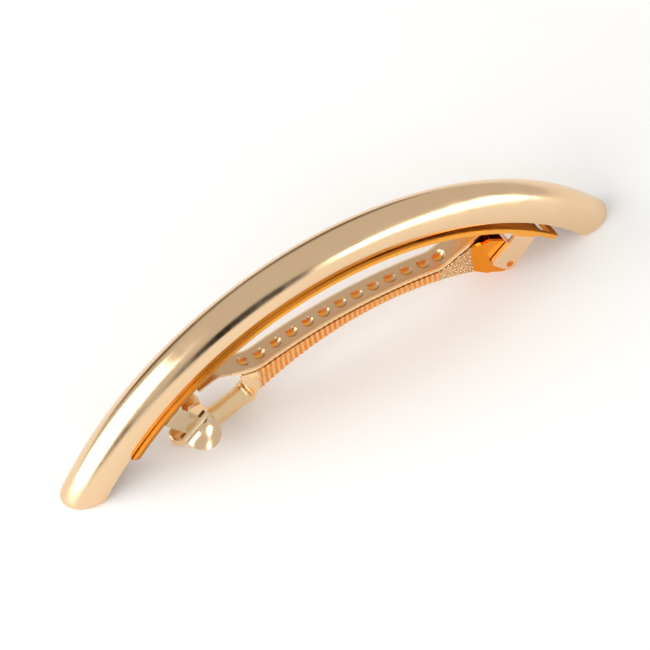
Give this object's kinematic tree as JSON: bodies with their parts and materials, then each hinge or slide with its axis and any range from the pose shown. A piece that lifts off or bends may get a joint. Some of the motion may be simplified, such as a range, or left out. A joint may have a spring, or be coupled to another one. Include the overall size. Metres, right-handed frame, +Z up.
{
  "type": "hair barrette",
  "caption": "Arched half-round hair barrette in polished gold metal with a hinged clip, a sprung bar and a snap catch behind it.",
  "frame": {"origin": "on the floor plane, midway between the two end faces of the arched bar", "axes": "+X along the bar towards the hinge, +Y across the bar, +Z up towards the bar's crown"},
  "size_m": [0.1036, 0.0158, 0.03],
  "materials": {
    "gold_bar": "polished gold plating",
    "gold_plate": "polished gold plating",
    "gold_catch": "polished gold plating",
    "gold_pin": "polished gold plating",
    "gold_strip": "polished gold plating",
    "gold_arm": "polished gold plating"
  },
  "bodies": {
    "clip": {"front_bar": "gold_bar", "base_plate": "gold_plate", "catch": "gold_catch", "hinge_pin": "gold_pin", "tension_bar": "gold_strip"},
    "arm": {"clip_arm": "gold_arm"}
  },
  "joints": [
    {"name": "arm_hinge", "type": "hinge", "parent": "clip", "child": "arm", "pos_m": [0.03135, 0, 0.00502], "axis": [0, -1, 0], "range_deg": [0, 100]}
  ]
}
